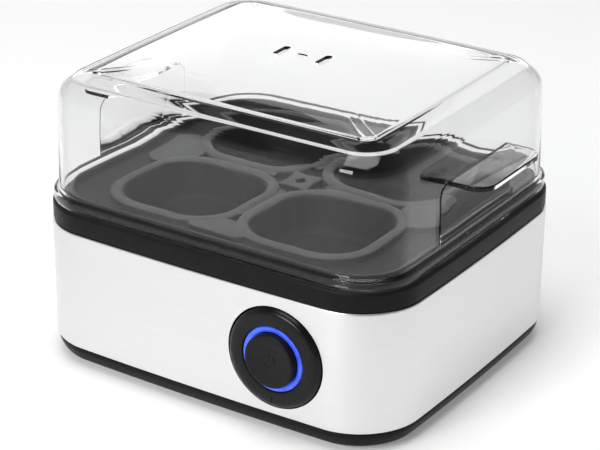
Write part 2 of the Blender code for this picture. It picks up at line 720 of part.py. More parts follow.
GLAND_PROFILE = (
    (3.7, 5.8), (5.0, 5.8), (5.6, 4.9), (5.8, 2.2), (8.4, 2.2), (8.7, 1.7), (8.7, 0.5), (5.5, 0.5),
    (5.5, -1.5), (7.2, -1.7), (7.2, -3.4), (3.7, -3.4),
)
WIRE_RADIUS = 1.0
WIRE_SPACING = 6.0
BLOCK_PITCH = 8.5


def make_gland():
    turned("cord_gland", GLAND_PROFILE, GLAND_CENTRE, BLACK, 20, "BACK")


def make_terminal_block():
    ways = [BLOCK_X - BLOCK_PITCH, BLOCK_X, BLOCK_X + BLOCK_PITCH]
    low = (BLOCK_X - 14, BLOCK_Y - 9, BASE_FLOOR + GAP)
    block = boxes("terminal_block", [(low, (BLOCK_X + 14, BLOCK_Y + 9, 16))], NYLON)
    join(block, rods("block_towers", [(x, BLOCK_Y) for x in ways], 3.2, 15, 19, NYLON, 16))
    tunnels = [((x - 1.6, BLOCK_Y - 12, 8.4), (x + 1.6, BLOCK_Y + 12, 11.6)) for x in ways]
    cut(block, boxes("block_tunnels", tunnels, NYLON))
    cut(block, rods("block_sinks", [(x, BLOCK_Y) for x in ways], 2.2, 14, 20, NYLON))


def make_wires():
    switch_y, switch_z = SWITCH_FRONT_Y + SWITCH_LENGTH + 3.5, BUTTON_Z - 3.5
    tab_y, tab_z = 63.5, ELEMENT_HEIGHT - 4.0
    fuse_end = FUSE_HALF_LENGTH + 0.4
    block_front = BLOCK_Y - 9.4
    routes = {
        "wire_live": (WIRE_BROWN, (
            (BLOCK_X - BLOCK_PITCH, block_front, 10), (-50, 22, 9), (-22, -18, 8), (22, -38, 13),
            (38, -45, 25), (BUTTON_X - TAB_OFFSET, switch_y, switch_z),
        )),
        "wire_switched": (WIRE_BROWN, (
            (BUTTON_X + TAB_OFFSET, switch_y, switch_z), (46.6, -45, 25), (36, -30, 16),
            (15, -8, 13), (4.4, 0, 21), (4, 0, 33.1),
        )),
        "wire_thermostat": (WIRE_BROWN, (
            (-fuse_end, FUSE_Y, FUSE_Z), (-22, -19.5, 47), (-24.5, -14, 41), (-17, -3, 36.5),
            (-4.9, 0, 36.2),
        )),
        "wire_heater": (WIRE_BROWN, (
            (fuse_end, FUSE_Y, FUSE_Z), (24, -18, 46), (34, 0, 38), (30, 30, 36.5), (16, 55, 38),
            (12, tab_y, tab_z),
        )),
        "wire_neutral": (WIRE_BLUE, (
            (BLOCK_X + BLOCK_PITCH, block_front, 10), (-29, 33, 12), (-18, 41, 18),
            (-12.5, 53, 28), (-12, 61, 38), (-12, tab_y, tab_z),
        )),
        "wire_earth": (WIRE_GREEN, (
            (BLOCK_X, block_front, 10), (-47, 35, 15), (-50, 44, 24), (-47, 46, 34),
            (-45, 30, 38.5), (-38, 10, 39), (-31, -6, 44), (-30, 2.1, 50.0),
        )),
    }
    for name, (colour, route) in routes.items():
        tube(name, catmull_rom(route, WIRE_SPACING), WIRE_RADIUS, colour, sides=1)


# ---------------------------------------------------------------- poaching tray

TRAY_SECTIONS = (
    (87.5, 75.5, 21.5, 81.5), (88.6, 76.6, 22.6, 83.5), (89.3, 77.3, 23.3, 84.1),
    (90.1, 78.1, 24.1, 84.0), (90.5, 78.5, 24.5, 83.2), (90.5, 78.5, 24.5, 79.7),
    (89.3, 77.3, 23.3, 79.7), (88.4, 76.4, 22.4, 80.3),
)
# Wells are square in plan: half width, corner radius and height, from the inside's floor over the
# raised ring to the outside's floor.
WELL_SECTIONS = (
    (22.5, 12.0, 64.5), (25.0, 14.5, 65.1), (26.2, 15.5, 67.0), (29.4, 18.5, 82.6), (30.0, 19.0, 83.7),
    (31.2, 20.0, 84.5), (34.3, 23.0, 84.5), (35.3, 24.0, 83.6), (35.5, 24.2, 80.3), (34.3, 23.0, 80.3),
    (34.1, 22.8, 82.8), (31.2, 20.0, 83.0), (30.6, 19.6, 81.8), (27.4, 16.7, 66.8), (26.0, 15.4, 64.3),
    (23.5, 13.0, 63.3),
)
LAND_BOTTOM, LAND_TOP = 80.9, 84.0
SIDE_LAND = (
    (57.5, -9.0), (66.0, -18.0), (74.0, -19.0), (80.5, -13.0), (80.5, 13.0), (74.0, 19.0),
    (66.0, 18.0), (57.5, 9.0),
)
END_LAND = ((-9.0, 57.5), (-18.0, 66.0), (-13.0, 72.6), (13.0, 72.6), (18.0, 66.0), (9.0, 57.5))
WEB_START, WEB_END, WEB_HALF = 15.0, 48.5, 1.8
HUB_SIDE, HUB_CORNER, HUB_HOLE = 6.8, 8.4, 3.2


def well_plan(half, radius, centre):
    plan = rounded(half, half, radius, 0.0, WELL_CORNER_STEPS, 1)
    return [(x + centre[0], y + centre[1]) for x, y in plan]


def turned_back(plan):
    """The same outline after half a turn in plan."""
    return [(-x, -y) for x, y in plan]


def hub_plan():
    """The plate between the four wells: its corners reach the well rings, its sides fall short."""
    plan = []
    for quarter in range(4):
        turn = Matrix.Rotation(math.radians(90 * quarter), 2)
        for point in ((HUB_SIDE, 0.0), (HUB_CORNER, HUB_CORNER)):
            plan.append(tuple(turn @ Vector(point)))
    return plan


def web_plans():
    plans = []
    for sign in (-1, 1):
        near, far = sorted((sign * WEB_START, sign * WEB_END))
        plans.append([(near, -WEB_HALF), (far, -WEB_HALF), (far, WEB_HALF), (near, WEB_HALF)])
        plans.append([(-WEB_HALF, near), (WEB_HALF, near), (WEB_HALF, far), (-WEB_HALF, far)])
    return plans


def make_tray():
    tray = loft("poaching_tray", section_loops(TRAY_SECTIONS), COATING)
    lands = [SIDE_LAND, turned_back(SIDE_LAND), END_LAND, turned_back(END_LAND)]
    raised = lands + [hub_plan()] + web_plans()
    join(tray, prism("tray_lands", raised, LAND_BOTTOM, LAND_TOP, COATING))
    centres = four(WELL_PITCH, WELL_PITCH)
    plugs = [well_plan(34.9, 23.6, centre) for centre in centres]
    cut(tray, prism("well_plugs", plugs, 79.0, 86.0, COATING))
    for index, centre in enumerate(centres, 1):
        loops = []
        for half, radius, height in WELL_SECTIONS:
            loops.append(lift(well_plan(half, radius, centre), height))
        join(tray, loft(f"well_{index}", loops, COATING))
    hole = [[(HUB_HOLE, 0), (0, HUB_HOLE), (-HUB_HOLE, 0), (0, -HUB_HOLE)]]
    cut(tray, prism("hub_hole", hole, 79.0, 86.0, COATING))


# ---------------------------------------------------------------- lid

# (inset from the body's outline, height), down the outside and up the inside.
LID_OUTSIDE = (
    (21.9, DOME_EDGE), (21.2, 140.8), (13.2, LID_EDGE), (12.4, 138.6), (8.0, 135.2), (6.5, 133.8),
    (5.5, 131.8), (5.0, 129.0), (3.8, 85.2), (3.3, 84.7), (2.3, 84.5), (1.7, 84.1), (1.4, 83.4),
    (1.4, LID_BOTTOM),
)
LID_INSIDE = (
    (3.9, LID_BOTTOM), (3.9, 81.8), (5.4, 82.6), (5.6, 85.2), (6.7, 128.9), (7.4, 131.6),
    (8.8, 133.7), (13.1, 137.0), (14.0, 137.4), (21.5, 139.0), (22.2, DOME_INSIDE_EDGE),
)
DOME_SHARES = (0.3, 0.62, 0.85)
WALL_INSET, WALL_LEAN = 3.8, 1.2 / 43.8
VENT_X, VENT_HALF_LENGTH, VENT_RADIUS = 11.5, 6.2, 1.4
GRIP_TOP, GRIP_BOTTOM = 115.2, 112.6
GRIP_ROOT_X, GRIP_REACH, GRIP_HALF_WIDTH, GRIP_CORNER = 92.4, 20.6, 27.3, 9.0
PAD_HALF_WIDTH, PAD_BOTTOM, PAD_CORNER, PAD_DEPTH, PAD_PROUD = 34.0, 83.8, 6.0, 1.0, 0.5


def dome_loops(inset, edge):
    """Loops of the domed top, drawn in from its edge, which lies at inset and height edge."""
    loops = []
    for share in DOME_SHARES:
        height = edge + DOME_RISE * (1 - share ** 2)
        loops.append([(x * share, y * share, height) for x, y in lid_plan(inset)])
    return loops


def grip_plan():
    """Outline of one grip: the outer half of a rounded rectangle, from the lid's wall."""
    shape = rounded(GRIP_REACH, GRIP_HALF_WIDTH, GRIP_CORNER, 0.0, 4, 1)
    outer = sorted((point for point in shape if point[0] > 0), key=lambda point: point[1])
    plan = [(0, -GRIP_HALF_WIDTH)] + outer + [(0, GRIP_HALF_WIDTH)]
    return [(x + GRIP_ROOT_X, y) for x, y in plan]


def pad_loops(side):
    """The raised pad under a grip, from inside the leaning wall to just proud of it."""
    top, half = (GRIP_TOP + GRIP_BOTTOM) / 2, PAD_HALF_WIDTH
    outline = (
        (-half, PAD_BOTTOM), (half, PAD_BOTTOM), (half, top - PAD_CORNER), (half - PAD_CORNER, top),
        (PAD_CORNER - half, top), (-half, top - PAD_CORNER),
    )
    loops = []
    for proud in (-PAD_DEPTH, PAD_PROUD):
        loop = []
        for y, z in outline:
            wall = BODY_HALF_X + LID_BOW - WALL_INSET - (z - LID_BOTTOM) * WALL_LEAN
            loop.append((side * (wall + proud), y, z))
        loops.append(loop)
    return loops


def make_lid():
    outside = dome_loops(*LID_OUTSIDE[0]) + body_loops(LID_OUTSIDE, lid_plan)
    inside = body_loops(LID_INSIDE, lid_plan) + dome_loops(*LID_INSIDE[-1])[::-1]
    lid = loft("lid", outside + inside, CLEAR)
    for side in (-1, 1):
        join(lid, loft(f"grip_pad_{side + 2}", pad_loops(side), CLEAR))
    grips = [grip_plan(), turned_back(grip_plan())]
    join(lid, prism("grips", grips, GRIP_BOTTOM, GRIP_TOP, CLEAR))
    vents = [stadium(side * VENT_X, 0, VENT_HALF_LENGTH, VENT_RADIUS) for side in (-1, 1)]
    vents.append(stadium(0, 0, 2.8, 0.9, along_y=False))
    cut(lid, prism("lid_vents", vents, 140.0, 150.0, CLEAR))


# ---------------------------------------------------------------- assembly

def make_carrier(name, place):
    """An empty on a moving body's slide axis."""
    empty = bpy.data.objects.new(name, None)
    PARTS.objects.link(empty)
    empty.location = Vector(place) * MM
    return empty


def carry(carrier, names):
    bpy.context.view_layer.update()
    for name in names:
        item = bpy.data.objects[name]
        item.parent = carrier
        item.matrix_parent_inverse = carrier.matrix_world.inverted()


def build():
    make_base_cover()
    make_feet()
    make_base_screws()
    make_shell()
    make_collar()
    make_dish()
    make_seal()
    make_dish_clips()
    make_spreader()
    make_element()
    make_element_terminals()
    make_thermostat()
    make_brackets()
    make_fuse()
    make_earth()
    make_shield()
    make_bezel()
    make_light_ring()
    make_control_housing()
    make_housing_screws()
    make_board()
    make_button()
    make_button_spring()
    make_switch()
    make_gland()
    make_terminal_block()
    make_wires()
    make_tray()
    make_lid()
    carry(make_carrier("button_carrier", BUTTON_CENTRE), ("button", "button_clip"))
    carry(make_carrier("tray_carrier", (0, 0, COLLAR_TOP)), ("poaching_tray",))
    carry(make_carrier("lid_carrier", (0, 0, COLLAR_TOP)), ("lid",))


build()
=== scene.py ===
"""Looks of the electric egg cooker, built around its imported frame.
Shapes are in millimetres until a mesh is made, and materials, lights and the camera are in metres.
"""

import json
import math

import bmesh
import bpy
from mathutils import Matrix, Vector


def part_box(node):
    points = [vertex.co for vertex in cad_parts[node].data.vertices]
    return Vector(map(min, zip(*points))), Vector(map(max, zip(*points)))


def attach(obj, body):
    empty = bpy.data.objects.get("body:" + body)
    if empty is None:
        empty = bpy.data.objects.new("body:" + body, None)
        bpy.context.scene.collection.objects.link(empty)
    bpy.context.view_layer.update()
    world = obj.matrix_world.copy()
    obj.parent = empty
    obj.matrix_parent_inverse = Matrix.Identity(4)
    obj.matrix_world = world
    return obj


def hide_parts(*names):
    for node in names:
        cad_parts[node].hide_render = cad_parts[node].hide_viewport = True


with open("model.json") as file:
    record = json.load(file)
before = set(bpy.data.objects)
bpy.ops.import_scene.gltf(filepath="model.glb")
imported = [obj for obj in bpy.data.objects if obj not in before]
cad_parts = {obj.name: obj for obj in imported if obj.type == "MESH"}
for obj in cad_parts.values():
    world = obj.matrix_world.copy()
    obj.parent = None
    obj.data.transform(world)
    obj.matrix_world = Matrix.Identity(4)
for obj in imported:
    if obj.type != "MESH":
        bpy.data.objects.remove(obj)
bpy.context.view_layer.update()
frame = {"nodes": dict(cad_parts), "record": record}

MM = 0.001
BODY_HALF_X, BODY_HALF_Y, CORNER_RADIUS, SIDE_BOW = 97.5, 85.2, 29.5, 2.0
LID_CORNER_RADIUS, LID_BOW = 28.0, 0.8
CORNER_STEPS, SIDE_STEPS = 18, 10


def millimetres(node):
    low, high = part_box(node)
    return low / MM, high / MM


# ---------------------------------------------------------------- meshes

def new_piece(name, bm, sharp=30):
    """A smooth-shaded object from a bmesh in metres."""
    bmesh.ops.recalc_face_normals(bm, faces=bm.faces)
    mesh = bpy.data.meshes.new(name)
    bm.to_mesh(mesh)
    bm.free()
    piece = bpy.data.objects.new(name, mesh)
    bpy.context.scene.collection.objects.link(piece)
    mesh.shade_smooth()
    mesh.set_sharp_from_angle(angle=math.radians(sharp))
    return piece


def settle(piece, sharp=30):
    """Turn the piece's modifiers into mesh."""
    graph = bpy.context.evaluated_depsgraph_get()
    mesh = bpy.data.meshes.new_from_object(piece.evaluated_get(graph))
    piece.modifiers.clear()
    piece.data = mesh
    mesh.shade_smooth()
    mesh.set_sharp_from_angle(angle=math.radians(sharp))


def combine(piece, tool, operation, sharp=30):
    step = piece.modifiers.new("combine", "BOOLEAN")
    step.operation = operation
    step.solver = "EXACT"
    step.object = tool
    settle(piece, sharp)
    bpy.data.objects.remove(tool)


def cut(piece, tool, sharp=30):
    combine(piece, tool, "DIFFERENCE", sharp)


def join(piece, tool, sharp=30):
    combine(piece, tool, "UNION", sharp)


def rounded(half_x, half_y, radius, bow=0.0, corner=CORNER_STEPS, side=SIDE_STEPS):
    """Points of a rounded rectangle, anticlockwise, its sides bowed out by bow."""
    arcs = []
    for sign_x, sign_y, start in ((1, 1, 0), (-1, 1, 90), (-1, -1, 180), (1, -1, 270)):
        arc = []
        for step in range(corner + 1):
            angle = math.radians(start + 90 * step / corner)
            x = sign_x * (half_x - radius) + radius * math.cos(angle)
            arc.append((x, sign_y * (half_y - radius) + radius * math.sin(angle)))
        arcs.append(arc)
    points = []
    for index, arc in enumerate(arcs):
        points.extend(arc)
        (x0, y0), (x1, y1) = arc[-1], arcs[(index + 1) % 4][0]
        for step in range(1, side):
            share = step / side
            points.append((x0 + (x1 - x0) * share, y0 + (y1 - y0) * share))
    bowed = []
    for x, y in points:
        grow_x = bow / half_x * (1 - (y / half_y) ** 2)
        grow_y = bow / half_y * (1 - (x / half_x) ** 2)
        bowed.append((x * (1 + grow_x), y * (1 + grow_y)))
    return bowed


def body_plan(inset, radius=CORNER_RADIUS, bow=SIDE_BOW):
    return rounded(BODY_HALF_X - inset, BODY_HALF_Y - inset, max(radius - inset, 2.0), bow)


def lid_plan(inset):
    """The lid's outline: the body's, with straighter sides and tighter corners."""
    return body_plan(inset, LID_CORNER_RADIUS, LID_BOW)


def lift(plan, height):
    return [(x, y, height) for x, y in plan]


def body_loops(profile, plan=body_plan):
    return [lift(plan(inset), height) for inset, height in profile]


def soften(profile, radius=0.6, steps=4, closed=True):
    """The same profile with its corners rounded off by arcs no longer than radius."""
    points = [Vector(point) for point in profile]
    out = []
    for index, point in enumerate(points):
        if not closed and index in (0, len(points) - 1):
            out.append(tuple(point))
            continue
        before, after = points[index - 1], points[(index + 1) % len(points)]
        to_before, to_after = before - point, after - point
        turn = math.pi - to_before.angle(to_after, 0.0)
        if turn < math.radians(12):
            out.append(tuple(point))
            continue
        reach = min(radius, 0.42 * to_before.length, 0.42 * to_after.length)
        start = point + to_before.normalized() * reach
        end = point + to_after.normalized() * reach
        for step in range(steps + 1):
            t = step / steps
            out.append(tuple(start * (1 - t) ** 2 + point * 2 * t * (1 - t) + end * t ** 2))
    return out


def loft(name, loops, ring=False, sharp=30, place=lambda point: point):
    """Skin over loops of equal length. A ring closes on itself, anything else gets a cap at each end.
    The UV map runs along the loops in U and across them in V, in metres."""
    bm = bmesh.new()
    flow = bm.loops.layers.uv.new("flow")
    rows = [[bm.verts.new(Vector(place(point)) * MM) for point in loop] for loop in loops]
    around = [0.0]
    for start, end in zip(loops[0], loops[0][1:] + loops[0][:1]):
        around.append(around[-1] + (Vector(end) - Vector(start)).length * MM)
    across = [0.0]
    for lower, upper in zip(loops, loops[1:]):
        across.append(across[-1] + (Vector(upper[0]) - Vector(lower[0])).length * MM)
    pairs = [(index, index + 1) for index in range(len(rows) - 1)]
    if ring:
        pairs.append((len(rows) - 1, 0))
        across.append(across[-1] + (Vector(loops[0][0]) - Vector(loops[-1][0])).length * MM)
    else:
        bm.faces.new(rows[0])
        bm.faces.new(rows[-1])
    count = len(rows[0])
    for number, (low, high) in enumerate(pairs):
        for index in range(count):
            after = (index + 1) % count
            face = bm.faces.new((rows[low][index], rows[low][after], rows[high][after], rows[high][index]))
            marks = (
                (around[index], across[number]), (around[index + 1], across[number]),
                (around[index + 1], across[number + 1]), (around[index], across[number + 1]),
            )
            for corner, mark in zip(face.loops, marks):
                corner[flow].uv = mark
    return new_piece(name, bm, sharp)


def circle(radius, height, steps):
    return [
        (radius * math.cos(math.tau * step / steps), radius * math.sin(math.tau * step / steps), height)
        for step in range(steps)
    ]


def turned(name, profile, centre, facing="UP", steps=96, ring=True, sharp=30):
    """A (radius, height) profile turned about an axis through centre that points UP, FRONT or BACK."""
    turns = {
        "UP": lambda p: (centre[0] + p[0], centre[1] + p[1], centre[2] + p[2]),
        "FRONT": lambda p: (centre[0] + p[0], centre[1] - p[2], centre[2] + p[1]),
        "BACK": lambda p: (centre[0] + p[0], centre[1] + p[2], centre[2] - p[1]),
    }
    loops = [circle(max(radius, 0.05), height, steps) for radius, height in profile]
    return loft(name, loops, ring, sharp, turns[facing])


def prism(name, plan, bottom, top, bevel=0.0, sharp=30):
    """An outline raised from bottom to top, the edges round its top rounded by bevel."""
    bm = bmesh.new()
    face = bm.faces.new([bm.verts.new((x * MM, y * MM, bottom * MM)) for x, y in plan])
    grown = bmesh.ops.extrude_face_region(bm, geom=[face])
    moved = [part for part in grown["geom"] if isinstance(part, bmesh.types.BMVert)]
    bmesh.ops.translate(bm, vec=(0, 0, (top - bottom) * MM), verts=moved)
    bmesh.ops.recalc_face_normals(bm, faces=bm.faces)
    if bevel:
        rim = [edge for edge in bm.edges if all(abs(v.co.z - top * MM) < 1e-7 for v in edge.verts)]
        bmesh.ops.bevel(
            bm, geom=rim, offset=bevel * MM, segments=4, profile=0.5, affect="EDGES", clamp_overlap=True
        )
    return new_piece(name, bm, sharp)


def box(name, low, high):
    plan = [(low[0], low[1]), (high[0], low[1]), (high[0], high[1]), (low[0], high[1])]
    return prism(name, plan, low[2], high[2])


def rod(name, x, y, radius, bottom, top, steps=32):
    return turned(name, [(radius, bottom), (radius, top)], (x, y, 0), steps=steps, ring=False)


def four(x, y):
    return [(sign_x * x, sign_y * y) for sign_x, sign_y in ((1, 1), (-1, 1), (-1, -1), (1, -1))]


def stadium(centre_x, centre_y, half_length, radius, along_y=True, steps=10):
    points = []
    for end, start in ((1, 0), (-1, 180)):
        for step in range(steps + 1):
            angle = math.radians(start + 180 * step / steps)
            across = radius * math.cos(angle)
            along = end * (half_length - radius) + radius * math.sin(angle)
            if along_y:
                points.append((centre_x + across, centre_y + along))
            else:
                points.append((centre_x - along, centre_y + across))
    return points


# ---------------------------------------------------------------- materials

class Paint:
    """A Principled material and short ways to add procedural detail, in the object's own metres."""

    def __init__(self, name, **constants):
        self.material = bpy.data.materials.new(name)
        self.material.use_nodes = True
        self.tree = self.material.node_tree
        self.shader = self.tree.nodes["Principled BSDF"]
        for label, value in constants.items():
            self.shader.inputs[label.replace("_", " ").title().replace("Ior", "IOR")].default_value = value

    def add(self, kind, **values):
        node = self.tree.nodes.new(kind)
        for label, value in values.items():
            if label in node.inputs:
                node.inputs[label].default_value = value
            else:
                setattr(node, label, value)
        return node

    def link(self, start, end):
        self.tree.links.new(start, end)

    def where(self, stretch=(1, 1, 1), flow=False):
        if flow:
            source = self.add("ShaderNodeUVMap", uv_map="flow").outputs["UV"]
        else:
            source = self.add("ShaderNodeTexCoord").outputs["Object"]
        scaled = self.add("ShaderNodeMapping")
        scaled.inputs["Scale"].default_value = stretch
        self.link(source, scaled.inputs["Vector"])
        return scaled.outputs["Vector"]

    def noise(self, size, detail=3.0, stretch=(1, 1, 1), flow=False, rough=0.5):
        """Noise whose patches are about size metres across."""
        node = self.add("ShaderNodeTexNoise", Scale=1.0 / size, Detail=detail, Roughness=rough)
        self.link(self.where(stretch, flow), node.inputs["Vector"])
        return node.outputs["Fac"]

    def span(self, factor, low, high, start=0.3, end=0.7):
        node = self.add("ShaderNodeMapRange")
        node.inputs["From Min"].default_value = start
        node.inputs["From Max"].default_value = end
        node.inputs["To Min"].default_value = low
        node.inputs["To Max"].default_value = high
        self.link(factor, node.inputs["Value"])
        return node.outputs["Result"]

    def blend(self, factor, first, second):
        node = self.add("ShaderNodeMix", data_type="RGBA")
        self.link(factor, node.inputs["Factor"])
        for socket, value in ((node.inputs[6], first), (node.inputs[7], second)):
            if isinstance(value, bpy.types.NodeSocket):
                self.link(value, socket)
            else:
                socket.default_value = (*value, 1.0)
        return node.outputs[2]

    def height(self):
        source = self.add("ShaderNodeTexCoord")
        split = self.add("ShaderNodeSeparateXYZ")
        self.link(source.outputs["Object"], split.inputs[0])
        return split.outputs["Z"]

    def bump(self, height, distance, strength=1.0):
        node = self.add("ShaderNodeBump", Strength=strength, Distance=distance)
        self.link(height, node.inputs["Height"])
        return node.outputs["Normal"]

    def set(self, **sources):
        for label, source in sources.items():
            self.link(source, self.shader.inputs[label.replace("_", " ").title()])


def moulded(name, dark, light, roughness, grain=0.0003, depth=0.00002, **constants):
    """Moulded plastic or rubber: faint mottling, uneven gloss and a fine spark-eroded grain."""
    paint = Paint(name, **constants)
    paint.set(
        base_color=paint.blend(paint.span(paint.noise(0.004), 0, 1), dark, light),
        roughness=paint.span(paint.noise(0.0012), roughness - 0.04, roughness + 0.05),
        normal=paint.bump(paint.noise(grain, 2.0), depth),
    )
    return paint.material


def metal(name, dark, light, roughness, stretch=(1, 1, 1), grain=0.0004, depth=0.00001, **constants):
    """Plain or plated metal with drawn grain along the least stretched axis and a little uneven tarnish."""
    paint = Paint(name, metallic=1.0, **constants)
    paint.set(
        base_color=paint.blend(paint.span(paint.noise(0.006), 0, 1), dark, light),
        roughness=paint.span(paint.noise(grain * 3, 3.0, stretch), roughness - 0.06, roughness + 0.08),
        normal=paint.bump(paint.noise(grain, 2.0, stretch), depth),
    )
    return paint.material


def steel_wrap():
    """Stainless sheet brushed round the body: long fine lines in the sheet's flow direction."""
    paint = Paint("brushed_wrap", metallic=1.0, anisotropic=0.55, anisotropic_rotation=0.25)
    fine = paint.noise(0.00022, 2.0, (0.006, 1, 1), flow=True)
    broad = paint.noise(0.0016, 3.0, (0.012, 1, 1), flow=True)
    cloud = paint.noise(0.05, 2.0)
    tone = paint.blend(paint.span(fine, 0, 1), (0.74, 0.74, 0.737), (0.775, 0.775, 0.772))
    tone = paint.blend(paint.span(broad, 0, 0.3), tone, (0.72, 0.72, 0.717))
    paint.set(
        base_color=paint.blend(paint.span(cloud, 0, 0.1), tone, (0.71, 0.71, 0.71)),
        roughness=paint.span(broad, 0.29, 0.34),
        normal=paint.bump(fine, 0.000003, 0.5),
    )
    tangent = paint.add("ShaderNodeTangent", direction_type="UV_MAP", uv_map="flow")
    paint.link(tangent.outputs["Tangent"], paint.shader.inputs["Tangent"])
    return paint.material


def dish_steel():
    """Pressed stainless of the water dish, with a soft satin grain and a faint tint from heat."""
    paint = Paint("dish_steel", metallic=1.0)
    cloud = paint.noise(0.03, 4.0)
    grain = paint.span(paint.noise(0.0009, 3.0, (0.05, 1, 1)), 0, 1)
    tone = paint.blend(grain, (0.62, 0.62, 0.61), (0.72, 0.72, 0.71))
    paint.set(
        base_color=paint.blend(paint.span(cloud, 0, 0.35, 0.45, 0.75), tone, (0.62, 0.56, 0.46)),
        roughness=paint.span(paint.noise(0.002, 3.0), 0.22, 0.34),
        normal=paint.bump(paint.noise(0.0005, 2.0, (0.05, 1, 1)), 0.000008),
    )
    return paint.material


PAINTED_SHEEN_FROM_TO = (0.0833, 0.0841)  # heights between which the tray's rims and lands turn paler with painted sheen


def tray_coating():
    """Dark grey non-stick coating: a fine speckle, and painted sheen that makes the raised rims and lands
    paler, standing in for the gloss of their worn tops.
    """
    paint = Paint("tray_coating", specular_ior_level=0.05)
    speckle = paint.noise(0.00045, 2.0, rough=0.6)
    speckled = paint.span(speckle, 0, 1, 0.35, 0.75)
    base = paint.blend(speckled, (0.007, 0.007, 0.0073), (0.011, 0.011, 0.0114))
    # painted sheen: a mask of the raised rims and lands, whose tops turn paler in place of their glossy
    # highlights
    raised = paint.span(paint.height(), 0, 1, *PAINTED_SHEEN_FROM_TO)
    uneven = paint.add("ShaderNodeMath", operation="MULTIPLY")
    paint.link(raised, uneven.inputs[0])
    paint.link(paint.span(paint.noise(0.006, 4.0), 0.75, 1.0), uneven.inputs[1])
    paint.set(
        # the paler colour here is painted sheen on the raised rims and lands
        base_color=paint.blend(uneven.outputs[0], base, (0.055, 0.055, 0.0565)),
        roughness=paint.span(paint.noise(0.0015, 3.0), 0.38, 0.46),
        normal=paint.bump(paint.noise(0.0006, 2.0), 0.00001, 0.5),
    )
    return paint.material


def clear_plastic():
    """Clear moulded lid: slow waves from moulding and hairline rubs. Lamps pass through it to the tray."""
    paint = Paint("clear_lid", transmission_weight=1.0, ior=1.35)
    rubs = paint.noise(0.0004, 2.0, (0.03, 1, 0.2))
    paint.set(
        base_color=paint.blend(paint.noise(0.05, 1.0), (0.93, 0.932, 0.934), (0.94, 0.942, 0.945)),
        roughness=paint.span(rubs, 0.0, 0.05, 0.62, 0.8),
        normal=paint.bump(paint.noise(0.03, 1.0), 0.0003, 0.1),
    )
    shader, output = paint.shader, paint.tree.nodes["Material Output"]
    ray = paint.add("ShaderNodeLightPath")
    passing = paint.add("ShaderNodeBsdfTransparent")
    passing.inputs["Color"].default_value = (0.9, 0.91, 0.92, 1.0)
    mix = paint.add("ShaderNodeMixShader")
    paint.link(ray.outputs["Is Shadow Ray"], mix.inputs[0])
    paint.link(shader.outputs[0], mix.inputs[1])
    paint.link(passing.outputs[0], mix.inputs[2])
    paint.link(mix.outputs[0], output.inputs["Surface"])
    return paint.material


def light_guide():
    """The lit ring: blue, brighter over each diode beneath it."""
    paint = Paint("light_guide", roughness=0.25, coat_weight=0.3)
    glow = paint.span(paint.noise(0.006, 2.0), 0, 1)
    colour = paint.blend(glow, (0.004, 0.022, 0.3), (0.045, 0.12, 0.75))
    paint.set(base_color=paint.blend(glow, (0.02, 0.04, 0.4), (0.04, 0.07, 0.6)), emission_color=colour)
    paint.shader.inputs["Emission Strength"].default_value = 0.85
    return paint.material


def woven_sleeve():
    paint = Paint("woven_sleeve")
    wave = paint.add("ShaderNodeTexWave", Scale=900.0, Distortion=1.5)
    paint.link(paint.where(), wave.inputs["Vector"])
    paint.set(
        base_color=paint.blend(wave.outputs["Fac"], (0.62, 0.6, 0.52), (0.82, 0.8, 0.72)),
        roughness=paint.span(wave.outputs["Fac"], 0.7, 0.9, 0, 1),
        normal=paint.bump(wave.outputs["Fac"], 0.0001),
    )
    return paint.material


def circuit_board():
    """Green lacquer over a grid of tracks."""
    paint = Paint("circuit_board", coat_weight=0.4)
    tracks = paint.add("ShaderNodeTexBrick", Scale=1.0)
    tracks.inputs["Brick Width"].default_value = 0.004
    tracks.inputs["Row Height"].default_value = 0.0016
    tracks.inputs["Mortar Size"].default_value = 0.0003
    paint.link(paint.where(), tracks.inputs["Vector"])
    paint.set(
        base_color=paint.blend(tracks.outputs["Fac"], (0.012, 0.10, 0.04), (0.04, 0.22, 0.09)),
        roughness=paint.span(paint.noise(0.002), 0.3, 0.45),
        normal=paint.bump(tracks.outputs["Fac"], 0.00003),
    )
    return paint.material


BLACK = moulded(
    "satin_black", (0.005, 0.005, 0.0053), (0.0075, 0.0075, 0.008), 0.42, specular_ior_level=0.12
)
GLOSS = moulded(
    "gloss_black", (0.004, 0.004, 0.0043), (0.006, 0.006, 0.0064), 0.24, 0.0005, 0.000006,
    specular_ior_level=0.2,
)
CAP = moulded(
    "cap_black", (0.005, 0.005, 0.0053), (0.0085, 0.0085, 0.009), 0.42, 0.0003, 0.00001,
    specular_ior_level=0.16,
)
STEEL = steel_wrap()
DISH = dish_steel()
COATING = tray_coating()
CLEAR = clear_plastic()
GLOW = light_guide()
RUBBER = moulded("rubber_foot", (0.018, 0.018, 0.018), (0.03, 0.03, 0.029), 0.75, 0.0005, 0.00004)
SILICONE = moulded("silicone_seal", (0.56, 0.56, 0.53), (0.66, 0.66, 0.63), 0.55, 0.0006, 0.00002)

